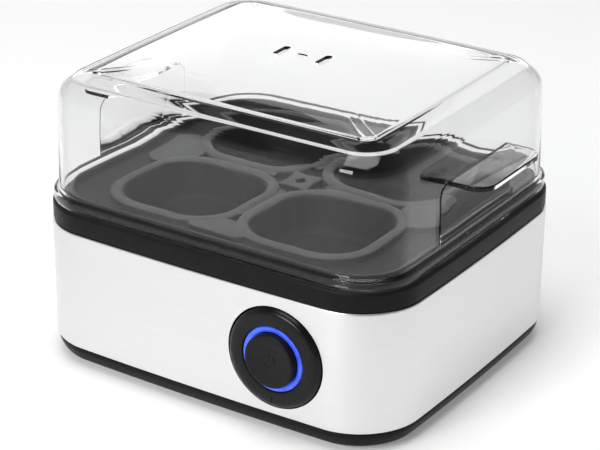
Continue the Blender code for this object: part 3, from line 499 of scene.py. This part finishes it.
SLOT_MATERIALS = {
    "body_plastic": BLACK, "knob_plastic": GLOSS, "steel_skin": STEEL, "dish_steel": DISH,
    "plated_metal": metal("zinc_plate", (0.55, 0.55, 0.50), (0.68, 0.67, 0.6), 0.32, (1, 1, 0.1)),
    "brass_parts": metal("plain_brass", (0.62, 0.46, 0.2), (0.76, 0.6, 0.3), 0.3),
    "spreader_aluminium": metal("cast_aluminium", (0.66, 0.67, 0.68), (0.78, 0.79, 0.8), 0.42, (0.1, 1, 1)),
    "rubber_feet": RUBBER, "seal_silicone": SILICONE,
    "thermostat_plastic": moulded("phenolic", (0.05, 0.028, 0.018), (0.1, 0.055, 0.034), 0.5),
    "sleeve": woven_sleeve(),
    "terminal_nylon": moulded("white_nylon", (0.74, 0.73, 0.69), (0.84, 0.83, 0.8), 0.45),
    "circuit_board": circuit_board(), "light_guide": GLOW,
    "wire_brown": moulded("brown_wire", (0.11, 0.045, 0.02), (0.17, 0.07, 0.03), 0.48),
    "wire_blue": moulded("blue_wire", (0.02, 0.07, 0.32), (0.04, 0.12, 0.46), 0.48),
    "wire_green": moulded("green_wire", (0.1, 0.32, 0.05), (0.2, 0.46, 0.08), 0.48),
    "tray_coating": COATING, "lid_clear": CLEAR,
}
for part in frame["record"]["subparts"]:
    mesh = frame["nodes"][part["node"]].data
    mesh.materials.clear()
    mesh.materials.append(SLOT_MATERIALS[part["material_slot"]])


def dress(piece, material, slot, body, *nodes):
    """Paint a piece, let it ride on its body and stand for the CAD nodes. The slot argument is not used."""
    piece.data.materials.clear()
    piece.data.materials.append(material)
    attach(piece, body)
    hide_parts(*nodes)


# ---------------------------------------------------------------- base, feet, steel and collar

BASE_LOW, BASE_HIGH = millimetres("base_cover")
SHELL_LOW, SHELL_HIGH = millimetres("steel_shell")
COLLAR_LOW, COLLAR_HIGH = millimetres("top_collar")
POST_X, POST_Y = 82.4, 70.1
FOOT_X, FOOT_Y, FOOT_TOP = 70.0, 58.0, 2.6
BUTTON = Vector((43.1, -82.5, 39.0))
GLAND = Vector((-50.0, 86.65, 22.0))


def make_base():
    bottom, rim = BASE_LOW.z, BASE_HIGH.z
    profile = [
        (4.8, bottom), (4.0, bottom + 0.3), (3.1, 3.1), (2.2, 4.4), (1.4, 6.2), (0.8, 7.8), (0.8, 9.4),
        (1.2, 9.8), (1.2, rim), (3.2, rim), (3.4, 5.4), (4.6, 4.5),
    ]
    piece = loft("base_moulding", body_loops(soften(profile, 0.4, 4, False)))
    for x, y in four(POST_X, POST_Y):
        join(piece, rod("boss", x, y, 4.2, 4.2, rim))
        cut(piece, rod("sink", x, y, 3.5, 1.5, 5.1))
        cut(piece, rod("hole", x, y, 1.7, 4.0, rim + 1))
    for x, y in four(FOOT_X, FOOT_Y):
        cut(piece, rod("seat", x, y, 7.6, 1.5, FOOT_TOP + 0.3, 48))
    for x in (-16.0, -8.0, 0.0, 8.0, 16.0):
        cut(piece, prism("slot", stadium(x, 0, 13, 1.5), 1.0, 6.0))
    dress(piece, BLACK, "body_plastic", "root", "base_cover")


def make_feet():
    profile = [
        (0, FOOT_TOP), (7.1, FOOT_TOP), (7.1, 0.9), (6.9, 0.35), (6.4, 0.05), (4.2, 0.0), (3.6, 0.4),
        (0, 0.5),
    ]
    for index, (x, y) in enumerate(four(FOOT_X, FOOT_Y), 1):
        piece = turned(f"foot_pad_{index}", profile, (x, y, 0), ring=False, steps=48)
        dress(piece, RUBBER, "rubber_feet", "root", f"foot_{index}")


def make_wrap():
    low, high = SHELL_LOW.z, SHELL_HIGH.z
    profile = [
        (0.0, low + 0.25), (0.0, low + 2.0), (0.0, 40.0), (0.0, high - 1.0), (0.06, high - 0.5),
        (0.25, high - 0.15), (0.55, high), (0.8, high), (0.8, low), (0.2, low),
    ]
    piece = loft("steel_wrap", body_loops(profile), ring=True)
    cut(piece, turned("hole", [(24.8, 12), (24.8, -4)], BUTTON, "FRONT", 96, ring=False))
    cut(piece, turned("hole", [(5.9, 6), (5.9, -6)], GLAND, "BACK", 48, ring=False))
    dress(piece, STEEL, "steel_skin", "root", "steel_shell")


def make_collar():
    under, top = 76.8, COLLAR_HIGH.z
    profile = [
        (0.8, 69.7), (0.4, 70.4), (0.4, 78.2), (1.3, top), (13.4, top), (13.8, 78.8), (13.8, under),
        (2.6, under), (2.6, 65.4), (1.1, 65.4), (1.1, 69.7),
    ]
    piece = loft("collar_moulding", body_loops(soften(profile, 0.7)), ring=True)
    for x, y in four(POST_X, POST_Y):
        join(piece, rod("post", x, y, 4.2, COLLAR_LOW.z, 77.5))
        cut(piece, rod("pilot", x, y, 1.6, 12.0, 32.0))
    for x, y in ((92.2, 0.0), (-92.2, 0.0), (0.0, 79.9), (0.0, -79.9)):
        join(piece, rod("clip_boss", x, y, 2.6, 74.0, 77.5))
        cut(piece, rod("pilot", x, y, 1.1, 73.0, 76.0, 16))
    dress(piece, BLACK, "body_plastic", "root", "top_collar")


# ---------------------------------------------------------------- water dish and seal

def section_loops(sections):
    return [
        lift(rounded(half_x, half_y, radius), height) for half_x, half_y, radius, height in sections
    ]


def make_dish():
    """The dish has a shallow channel round its floor, where the last of the water gathers."""
    top = 74.7
    sections = (
        (76.0, 63.5, 22.0, 55.0), (79.0, 66.5, 24.0, 55.4), (80.6, 68.1, 25.0, 56.4),
        (81.2, 68.7, 25.5, 58.0), (82.5, 70.0, 27.4, 71.6), (83.1, 70.6, 28.2, 73.1),
        (84.2, 71.7, 29.2, 73.7), (88.1, 75.8, 33.6, 73.7), (88.5, 76.2, 34.0, 74.0),
        (88.5, 76.2, 34.0, 74.4), (88.1, 75.8, 33.6, top), (83.4, 70.9, 28.6, top),
        (82.3, 69.8, 27.5, 74.2), (81.6, 69.1, 26.8, 72.6), (80.3, 67.8, 24.6, 58.8),
        (79.7, 67.2, 24.1, 57.3), (78.4, 65.9, 23.2, 56.3), (75.5, 63.0, 21.5, 55.9),
        (72.0, 59.5, 19.0, 55.9), (70.6, 58.1, 18.0, 56.2), (69.2, 56.7, 17.0, 56.4),
        (52.0, 40.0, 12.0, 56.45), (30.0, 20.0, 8.0, 56.5),
    )
    piece = loft("water_dish", section_loops(sections))
    dress(piece, DISH, "dish_steel", "root", "heating_dish")


def make_seal():
    bottom, top = 75.0, 76.5
    sections = (
        (84.5, 72.2, 30.0, bottom), (87.1, 74.8, 32.6, bottom), (87.5, 75.2, 33.0, bottom + 0.4),
        (87.5, 75.2, 33.0, top - 0.4), (87.1, 74.8, 32.6, top), (84.9, 72.6, 30.4, top),
        (84.5, 72.2, 30.0, top - 0.4),
    )
    piece = loft("dish_gasket", section_loops(sections), ring=True)
    dress(piece, SILICONE, "seal_silicone", "root", "dish_seal")


# ---------------------------------------------------------------- push button

BEZEL_FACE, TICK_HALF = 6.75, 0.22
EAR_REACH, EAR_SCREW, EAR_THICKNESS, EAR_HALF = 30.2, 27.3, 1.2, 7


def make_bezel():
    profile = [
        (15.8, 6.2), (16.2, 6.6), (17.0, BEZEL_FACE), (20.8, BEZEL_FACE), (22.1, 6.5), (23.1, 5.9),
        (23.8, 5.0), (24.2, 4.0), (24.3, 3.0), (24.3, 0.3), (24.0, 0.0), (15.8, 0.0),
    ]
    piece = turned("knob_bezel", profile, BUTTON, "FRONT", 128)
    front = BUTTON.y - BEZEL_FACE
    low = (BUTTON.x - TICK_HALF, front - 1, BUTTON.z - 23.2)
    high = (BUTTON.x + TICK_HALF, front + 0.35, BUTTON.z - 18.8)
    cut(piece, box("tick", low, high))
    for side in (-1, 1):
        inner, outer = sorted((BUTTON.x + side * 20.0, BUTTON.x + side * EAR_REACH))
        low = (inner, BUTTON.y - EAR_THICKNESS, BUTTON.z - EAR_HALF)
        high = (outer, BUTTON.y, BUTTON.z + EAR_HALF)
        ear = box("ear", low, high)
        hole = (BUTTON.x + side * EAR_SCREW, BUTTON.y, BUTTON.z)
        cut(ear, turned("hole", [(1.3, 6), (1.3, -6)], hole, "FRONT", 24, ring=False))
        join(piece, ear)
    dress(piece, GLOSS, "knob_plastic", "root", "bezel")


def make_light_ring():
    profile = [
        (13.2, 6.1), (13.35, 6.3), (13.6, 6.4), (15.1, 6.4), (15.35, 6.3), (15.5, 6.1), (15.5, -0.3),
        (18.0, -0.3), (18.0, -2.3), (15.5, -2.3), (15.5, -4.5), (13.2, -4.5),
    ]
    piece = turned("knob_light_ring", profile, BUTTON, "FRONT", 128)
    dress(piece, GLOW, "light_guide", "root", "light_ring")


def symbol_bars():
    """The plain on-off sign: an open ring and a stroke, as outlines about the button's middle."""
    outline = []
    for radius, order in ((3.3, 1), (2.7, -1)):
        arc = [math.radians(125 + 290 * step / 32) for step in range(33)]
        outline += [(radius * math.cos(a), radius * math.sin(a)) for a in arc[::order]]
    return [outline, [(-0.3, 0.6), (0.3, 0.6), (0.3, 4.0), (-0.3, 4.0)]]


def make_button():
    profile = [
        (0.0, 9.25), (3.0, 9.27), (6.0, 9.36), (8.5, 9.52), (10.4, 9.74), (11.4, 9.86), (12.0, 9.84),
        (12.5, 9.62), (12.75, 9.2), (12.8, 8.7), (12.8, -2.0), (11.4, -2.0), (11.4, 7.4), (2.6, 7.4),
        (2.6, -14.5), (0.0, -14.5),
    ]
    piece = turned("knob_cap", profile, BUTTON, "FRONT", 128, ring=False)
    for outline in symbol_bars():
        bar = prism("bar", outline, 0, 0.4, 0.1)
        bar.data.transform(Matrix.Rotation(math.pi / 2, 4, "X"))
        bar.data.transform(Matrix.Translation((BUTTON + Vector((0, -9.05, 0))) * MM))
        join(piece, bar)
    dress(piece, CAP, "knob_plastic", "button", "button")


def make_gland():
    profile = [
        (3.7, 5.5), (4.0, 5.8), (4.9, 5.8), (5.5, 5.3), (5.75, 4.4), (5.8, 2.2), (8.2, 2.2), (8.6, 1.9),
        (8.7, 1.5), (8.7, 0.5), (5.5, 0.5), (5.5, -1.5), (7.2, -1.7), (7.2, -3.4), (3.7, -3.4),
    ]
    piece = turned("cord_inlet", profile, GLAND, "BACK", 64)
    dress(piece, BLACK, "body_plastic", "root", "cord_gland")


# ---------------------------------------------------------------- poaching tray

WELL_PITCH = 35.8
WELL_SECTIONS = (
    (16.0, 9.0, 64.5), (22.0, 12.0, 64.55), (23.6, 13.4, 64.8), (24.9, 14.5, 65.5), (25.7, 15.2, 66.6),
    (26.1, 15.5, 67.8), (28.9, 18.0, 81.6), (29.3, 18.4, 82.9), (29.9, 18.9, 83.8), (30.7, 19.6, 84.3),
    (31.8, 20.6, 84.5), (33.4, 22.1, 84.5), (34.5, 23.2, 84.25), (35.2, 23.9, 83.7), (35.5, 24.2, 82.9),
    (35.6, 24.3, 82.3), (35.9, 24.6, 81.8), (36.5, 25.2, 81.5), (36.5, 25.2, 80.4), (34.3, 23.0, 80.4),
    (34.1, 22.8, 82.8), (31.2, 20.0, 83.0), (30.6, 19.6, 81.8), (27.4, 16.7, 66.8), (26.0, 15.4, 64.3),
    (23.5, 13.0, 63.3), (16.0, 9.0, 63.3),
)
TRAY_SECTIONS = (
    (20.0, 20.0, 10.0, 81.5), (84.8, 72.8, 19.0, 81.45), (86.6, 74.6, 20.6, 81.6),
    (87.6, 75.6, 21.6, 82.1), (88.1, 76.1, 22.1, 82.8), (88.5, 76.5, 22.5, 83.6),
    (89.0, 77.0, 23.0, 84.0), (89.6, 77.6, 23.6, 84.1), (90.1, 78.1, 24.1, 84.0),
    (90.4, 78.4, 24.4, 83.6), (90.5, 78.5, 24.5, 83.0), (90.5, 78.5, 24.5, 79.7),
    (89.3, 77.3, 23.3, 79.7), (88.4, 76.4, 22.4, 80.3), (20.0, 20.0, 10.0, 80.3),
)
SIDE_LAND = (
    (57.5, -9.0), (66.0, -18.0), (74.0, -19.0), (80.5, -13.0), (80.5, 13.0), (74.0, 19.0), (66.0, 18.0),
    (57.5, 9.0),
)
END_LAND = ((-9.0, 57.5), (-18.0, 66.0), (-13.0, 72.6), (13.0, 72.6), (18.0, 66.0), (9.0, 57.5))
WEB_START, WEB_END, WEB_HALF = 14.0, 50.0, 1.8
HUB_SIDE, HUB_CORNER = 6.8, 8.4


def well_plan(half, radius, centre):
    plan = rounded(half, half, radius, 0.0, 16, 6)
    return [(x + centre[0], y + centre[1]) for x, y in plan]


def back(plan):
    return [(-x, -y) for x, y in plan]


def eased(plan, reach):
    return soften(plan, reach, 5)


def hub_plan():
    """The plate between the four wells: its corners reach the well rings, its sides fall short."""
    plan = []
    for quarter in range(4):
        turn = Matrix.Rotation(math.radians(90 * quarter), 2)
        for point in ((HUB_SIDE, 0.0), (HUB_CORNER, HUB_CORNER)):
            plan.append(tuple(turn @ Vector(point)))
    return plan


def make_tray():
    piece = loft("coated_tray", section_loops(TRAY_SECTIONS))
    lands = []
    for land in (eased(SIDE_LAND, 4.0), eased(END_LAND, 4.0)):
        lands += [land, back(land)]
    for plan in lands + [eased(hub_plan(), 1.5)]:
        join(piece, prism("land", plan, 80.9, 84.05, 0.6))
    for sign in (-1, 1):
        near, far = sorted((sign * WEB_START, sign * WEB_END))
        join(piece, box("web", (near, -WEB_HALF, 80.9), (far, WEB_HALF, 83.9)))
        join(piece, box("web", (-WEB_HALF, near, 80.9), (WEB_HALF, far, 83.9)))
    for centre in four(WELL_PITCH, WELL_PITCH):
        cut(piece, prism("plug", well_plan(34.9, 23.6, centre), 79.0, 86.0))
    for centre in four(WELL_PITCH, WELL_PITCH):
        loops = [lift(well_plan(half, radius, centre), height) for half, radius, height in WELL_SECTIONS]
        join(piece, loft("well", loops))
    cut(piece, prism("hole", [(3.2, 0), (0, 3.2), (-3.2, 0), (0, -3.2)], 79.0, 86.0))
    dress(piece, COATING, "tray_coating", "tray", "poaching_tray")


# ---------------------------------------------------------------- lid

# (inset from the lid's outline, height), down the outside and up the inside.
LID_OUTSIDE = (
    (21.9, 141.5), (21.7, 141.35), (21.5, 140.95), (21.2, 140.8), (17.0, 139.9), (13.5, 139.08),
    (13.0, 138.95), (12.6, 138.7), (12.2, 138.35), (8.8, 135.75), (7.6, 134.8), (6.7, 133.9),
    (6.0, 132.8), (5.5, 131.5), (5.2, 130.2), (5.05, 128.8), (4.8, 121.0), (4.3, 104.0), (3.85, 87.0),
    (3.7, 85.9), (3.4, 85.1), (3.0, 84.7), (2.5, 84.5), (2.0, 84.3), (1.6, 83.9), (1.4, 83.3),
    (1.4, 80.1), (1.7, 79.6),
)
LID_INSIDE = (
    (3.6, 79.6), (3.9, 79.9), (3.9, 81.5), (4.2, 82.1), (4.8, 82.4), (5.3, 82.8), (5.5, 83.4),
    (5.6, 85.2), (6.0, 104.0), (6.6, 128.4), (6.8, 129.9), (7.1, 131.1), (7.7, 132.4), (8.5, 133.4),
    (9.6, 134.3), (12.8, 136.75), (13.3, 137.1), (13.9, 137.35), (14.5, 137.5), (21.4, 138.95),
    (21.9, 139.2), (22.2, 139.8),
)
DOME_RISE, DOME_STEPS, DOME_POWER = 4.5, 24, 3.0
SINK_DEPTH, SINK_REACH = 0.22, 16.0
WALL_INSET, WALL_LEAN, WALL_BOTTOM = 3.8, 1.2 / 43.8, 85.2
VENT_X = 11.5
GRIP_TOP, GRIP_BOTTOM = 115.0, 112.8
GRIP_ROOT_X, GRIP_REACH, GRIP_HALF_WIDTH = 92.4, 20.6, 27.3


def sink(index, count, from_edge):
    """Slow dents that moulding leaves beside the dome's edge: they fade towards the middle."""
    turn = math.tau * index / count
    fade = max(0.0, 1.0 - from_edge / SINK_REACH) ** 2 * min(1.0, from_edge / 3.0)
    wave = math.sin(5 * turn + 0.6) + 0.7 * math.sin(11 * turn + 2.1) + 0.4 * math.sin(19 * turn)
    return SINK_DEPTH * fade * wave


def dome_loops(inset, edge):
    """Loops of the dome from its middle out to its edge, which lies at inset and height edge."""
    outline = lid_plan(inset)
    reach_x, reach_y = (max(values) for values in zip(*outline))
    loops = []
    for step in range(1, DOME_STEPS):
        share = (step / DOME_STEPS) ** 0.7
        loop = []
        for index, (x, y) in enumerate(outline):
            fall_x = abs(share * x / reach_x) ** DOME_POWER
            fall_y = abs(share * y / reach_y) ** DOME_POWER
            dent = sink(index, len(outline), reach_y * (1 - share))
            height = edge + DOME_RISE * ((1 - fall_x) * (1 - fall_y)) + dent
            loop.append((x * share, y * share, height))
        loops.append(loop)
    return loops


def grip_plan():
    shape = rounded(GRIP_REACH, GRIP_HALF_WIDTH, 9.0, 0.0, 10, 1)
    outer = sorted((point for point in shape if point[0] > 0), key=lambda point: point[1])
    plan = [(0, -GRIP_HALF_WIDTH)] + outer + [(0, GRIP_HALF_WIDTH)]
    return [(x + GRIP_ROOT_X, y) for x, y in plan]


def pad(side):
    """The thin raised panel that carries a grip, set on the leaning wall with a soft edge."""
    half, bottom, top, corner = 34.0, 83.8, (GRIP_TOP + GRIP_BOTTOM) / 2, 6.0
    outline = [(-half, bottom), (half, bottom)]
    for start, sign in ((0, 1), (90, -1)):
        for step in range(9):
            angle = math.radians(start + 90 * step / 8)
            across = sign * (half - corner) + corner * math.cos(angle)
            outline.append((across, top - corner + corner * math.sin(angle)))
    loops = []
    for proud, shrink in ((-1.0, 0.0), (0.1, 0.0), (0.25, 0.1), (0.36, 0.35), (0.42, 0.8)):
        loop = []
        for y, z in outline:
            wall = BODY_HALF_X + LID_BOW - WALL_INSET - (z - WALL_BOTTOM) * WALL_LEAN
            height = bottom + (z - bottom) * (1 - shrink / (top - bottom))
            loop.append((side * (wall + proud), y * (1 - shrink / half), height))
        loops.append(loop)
    return loft("pad", loops, sharp=60)


def make_lid():
    outside = dome_loops(*LID_OUTSIDE[0]) + body_loops(LID_OUTSIDE, lid_plan)
    inside = body_loops(LID_INSIDE, lid_plan) + dome_loops(*LID_INSIDE[-1])[::-1]
    piece = loft("clear_lid", outside + inside, sharp=60)
    for side in (-1, 1):
        join(piece, pad(side), 60)
    for plan in (grip_plan(), back(grip_plan())):
        join(piece, prism("grip", plan, GRIP_BOTTOM, GRIP_TOP, 0.7), 60)
    vents = [stadium(side * VENT_X, 0, 6.0, 1.7) for side in (-1, 1)]
    vents.append(stadium(0, 0, 2.6, 0.9, along_y=False))
    for outline in vents:
        cut(piece, prism("vent", outline, 138.0, 150.0), 60)
    dress(piece, CLEAR, "lid_clear", "lid", "lid")


# ---------------------------------------------------------------- stage, light and camera

AZIMUTH, ELEVATION, ROLL = math.radians(33.06), math.radians(24.5), math.radians(-0.475)
CAMERA_PLACE = Vector((0.4921, -0.7572, 0.4711))
LENS, SENSOR = 124.32, 36.0


def make_camera():
    level = math.cos(ELEVATION)
    out = Vector((math.sin(AZIMUTH) * level, -math.cos(AZIMUTH) * level, math.sin(ELEVATION)))
    right = Vector((math.cos(AZIMUTH), math.sin(AZIMUTH), 0.0))
    up = out.cross(right)
    across = right * math.cos(ROLL) - up * math.sin(ROLL)
    upward = right * math.sin(ROLL) + up * math.cos(ROLL)
    data = bpy.data.cameras.new("camera")
    data.sensor_width = SENSOR
    data.lens = LENS
    data.clip_start, data.clip_end = 0.01, 100.0
    camera = bpy.data.objects.new("camera", data)
    bpy.context.scene.collection.objects.link(camera)
    turn = Matrix((across, upward, out)).transposed().to_4x4()
    camera.matrix_world = Matrix.Translation(CAMERA_PLACE) @ turn
    bpy.context.scene.camera = camera


def softbox(name, place, target, width, height, radiance):
    """An area light that faces target and shows the given radiance over its whole face."""
    data = bpy.data.lights.new(name, "AREA")
    data.shape = "RECTANGLE"
    data.size, data.size_y = width, height
    data.energy = radiance * width * height * math.pi
    light = bpy.data.objects.new(name, data)
    bpy.context.scene.collection.objects.link(light)
    light.location = place
    light.rotation_euler = (Vector(target) - Vector(place)).to_track_quat("-Z", "Y").to_euler()
    light.visible_camera = False


def make_world():
    """A pale studio that is brighter near the horizon and to the left."""
    world = bpy.data.worlds.new("studio")
    world.use_nodes = True
    tree = world.node_tree
    source = tree.nodes.new("ShaderNodeTexCoord")
    split = tree.nodes.new("ShaderNodeSeparateXYZ")
    tree.links.new(source.outputs["Generated"], split.inputs[0])
    factors = []
    for axis, first, last, dim, bright in (("Z", 0.05, 0.6, 0.75, 0.15), ("X", -0.8, 0.8, 1.0, 0.6)):
        spread = tree.nodes.new("ShaderNodeMapRange")
        spread.inputs["From Min"].default_value = first
        spread.inputs["From Max"].default_value = last
        spread.inputs["To Min"].default_value = dim
        spread.inputs["To Max"].default_value = bright
        tree.links.new(split.outputs[axis], spread.inputs["Value"])
        factors.append(spread.outputs["Result"])
    product = tree.nodes.new("ShaderNodeMath")
    product.operation = "MULTIPLY"
    tree.links.new(factors[0], product.inputs[0])
    tree.links.new(factors[1], product.inputs[1])
    tree.links.new(product.outputs[0], tree.nodes["Background"].inputs["Strength"])
    tree.nodes["Background"].inputs["Color"].default_value = (1.0, 1.0, 1.0, 1.0)
    bpy.context.scene.world = world


def make_stage():
    bm = bmesh.new()
    bmesh.ops.create_grid(bm, x_segments=2, y_segments=2, size=15.0)
    floor = new_piece("floor", bm)
    paint = Paint("pale_floor", roughness=0.6, specular_ior_level=0.1)
    paint.set(base_color=paint.blend(paint.noise(0.4, 2.0), (0.79, 0.79, 0.79), (0.81, 0.81, 0.81)))
    paint.shader.inputs["Emission Color"].default_value = (1.0, 1.0, 1.0, 1.0)
    paint.shader.inputs["Emission Strength"].default_value = 0.2
    floor.data.materials.append(paint.material)
    make_world()
    middle = (0, 0, 0.08)
    softbox("back_box", (-1.9, 2.9, 1.52), middle, 3.4, 2.0, 1.0)
    softbox("front_box", (-0.2, -1.55, 0.95), middle, 0.8, 0.6, 12.0)
    softbox("top_box", (0.0, -0.2, 1.9), middle, 1.3, 1.3, 4.6)
    bpy.context.scene.view_settings.view_transform = "Standard"


make_base()
make_feet()
make_wrap()
make_collar()
make_dish()
make_seal()
make_bezel()
make_light_ring()
make_button()
make_gland()
make_tray()
make_lid()
make_stage()
make_camera()
